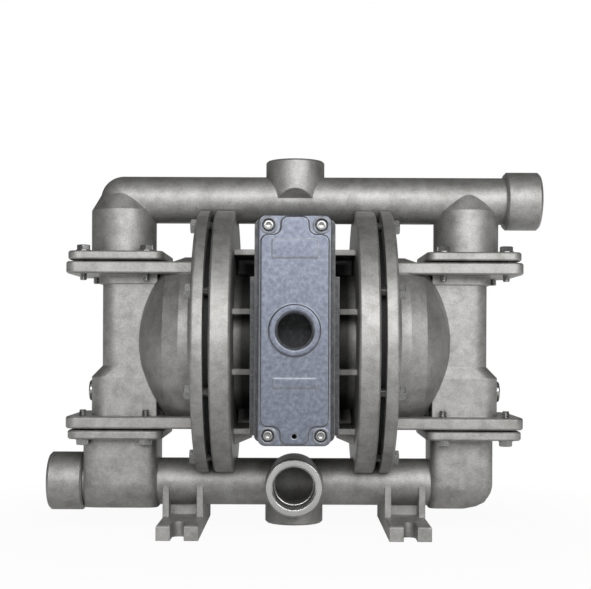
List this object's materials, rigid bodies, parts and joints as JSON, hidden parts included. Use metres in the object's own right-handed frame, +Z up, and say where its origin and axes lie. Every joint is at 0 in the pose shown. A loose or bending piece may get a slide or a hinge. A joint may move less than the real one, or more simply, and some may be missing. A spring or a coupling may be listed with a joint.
{
  "type": "air operated diaphragm pump",
  "caption": "Cast metal double diaphragm pump: domed liquid chambers joined by upper and lower pipe manifolds, with a flat exhaust plate on the centre block and slotted feet.",
  "frame": {"origin": "on the floor, under the middle of the pump's bounding box, midway between the liquid chambers", "axes": "+X along the diaphragm shaft towards the discharge end port, -Y towards the exhaust plate, +Z up"},
  "size_m": [0.544, 0.296, 0.409],
  "materials": {
    "cast_steel": "bead-blasted cast stainless steel",
    "cast_aluminium": "die-cast aluminium, blasted",
    "bright_fastener": "bright stainless fastener",
    "black_rubber": "moulded black rubber",
    "gasket_sheet": "pressed gasket sheet",
    "white_ptfe": "turned white fluoropolymer",
    "bronze_bush": "turned bronze",
    "ground_shaft": "ground and polished steel"
  },
  "bodies": {
    "housing": {"inlet_manifold": "cast_steel", "discharge_manifold": "cast_steel", "centre_block": "cast_aluminium", "exhaust_plate": "cast_aluminium", "exhaust_gasket": "gasket_sheet", "plate_screws": "bright_fastener", "drain_plugs": "bright_fastener", "air_chamber_screws": "bright_fastener", "inlet_joint_bolts": "bright_fastener", "discharge_joint_bolts": "bright_fastener", "seat_seals": "black_rubber", "shaft_bushes": "bronze_bush", "shaft_seals": "black_rubber", "pilot_bushes": "bronze_bush", "valve_body": "cast_aluminium", "valve_gasket": "gasket_sheet", "valve_sleeve": "ground_shaft", "valve_cap_upper": "cast_aluminium", "valve_cap_lower": "cast_aluminium", "valve_cap_screws": "bright_fastener", "valve_body_screws": "bright_fastener", "liquid_chamber_left": "cast_steel", "air_chamber_left": "cast_steel", "clamp_bolts_left": "bright_fastener", "diaphragm_left": "black_rubber", "inlet_seat_left": "cast_steel", "discharge_seat_left": "cast_steel", "liquid_chamber_right": "cast_steel", "air_chamber_right": "cast_steel", "clamp_bolts_right": "bright_fastener", "diaphragm_right": "black_rubber", "inlet_seat_right": "cast_steel", "discharge_seat_right": "cast_steel"},
    "shaft_group": {"shaft": "ground_shaft", "inner_plate_left": "cast_aluminium", "inner_plate_right": "cast_aluminium", "outer_plate_left": "cast_steel", "outer_plate_right": "cast_steel"},
    "pilot_group": {"pilot_spool": "ground_shaft"},
    "spool_group": {"valve_spool": "ground_shaft"},
    "inlet_ball_group_left": {"inlet_ball_left": "white_ptfe"},
    "inlet_ball_group_right": {"inlet_ball_right": "white_ptfe"},
    "discharge_ball_group_left": {"discharge_ball_left": "white_ptfe"},
    "discharge_ball_group_right": {"discharge_ball_right": "white_ptfe"}
  },
  "joints": [
    {"name": "shaft_slide", "type": "slide", "parent": "housing", "child": "shaft_group", "axis": [1, 0, 0], "range_m": [-0.018, 0.018], "deforming": ["diaphragm_left", "diaphragm_right"]},
    {"name": "pilot_slide", "type": "slide", "parent": "housing", "child": "pilot_group", "axis": [1, 0, 0], "range_m": [-0.005, 0.005]},
    {"name": "valve_spool_slide", "type": "slide", "parent": "housing", "child": "spool_group", "axis": [0, 0, 1], "range_m": [0, 0.018]},
    {"name": "inlet_ball_lift_left", "type": "slide", "parent": "housing", "child": "inlet_ball_group_left", "axis": [0, 0, 1], "range_m": [0, 0.009]},
    {"name": "inlet_ball_lift_right", "type": "slide", "parent": "housing", "child": "inlet_ball_group_right", "axis": [0, 0, 1], "range_m": [0, 0.009]},
    {"name": "discharge_ball_lift_left", "type": "slide", "parent": "housing", "child": "discharge_ball_group_left", "axis": [0, 0, 1], "range_m": [0, 0.009]},
    {"name": "discharge_ball_lift_right", "type": "slide", "parent": "housing", "child": "discharge_ball_group_right", "axis": [0, 0, 1], "range_m": [0, 0.009]}
  ],
  "couplings": [
    {"joint": "pilot_slide", "follows": "shaft_slide", "ratio": 0.2777}
  ]
}
